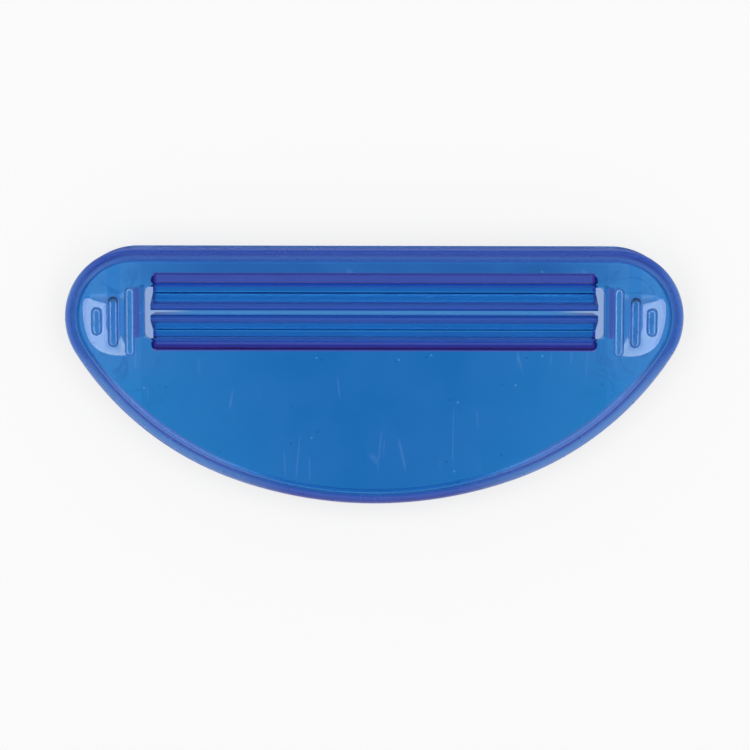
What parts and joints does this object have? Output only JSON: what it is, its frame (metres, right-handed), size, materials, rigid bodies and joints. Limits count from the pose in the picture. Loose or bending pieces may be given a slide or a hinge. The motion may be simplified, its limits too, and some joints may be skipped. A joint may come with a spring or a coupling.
{
  "type": "toothpaste tube squeezer",
  "caption": "D-shaped clear blue plastic squeezer: a hollow face shell with ribbed thumb rests and a window that shows a slot between long jaws, which flatten a tube pulled through them.",
  "frame": {"origin": "on the surface that the open rear rim rests on, below the middle of the outline's box", "axes": "+X along the straight edge and the slot, +Y from the curved edge to the straight edge, +Z out of the front face"},
  "size_m": [0.115, 0.048, 0.0114],
  "materials": {
    "face_blue": "clear dyed polystyrene, polished",
    "jaw_blue": "clear dyed polystyrene, polished, deeper in tone where the walls stand on edge"
  },
  "bodies": {
    "root": {"face_shell": "face_blue", "upper_jaw": "jaw_blue", "lower_jaw": "jaw_blue"}
  },
  "joints": []
}
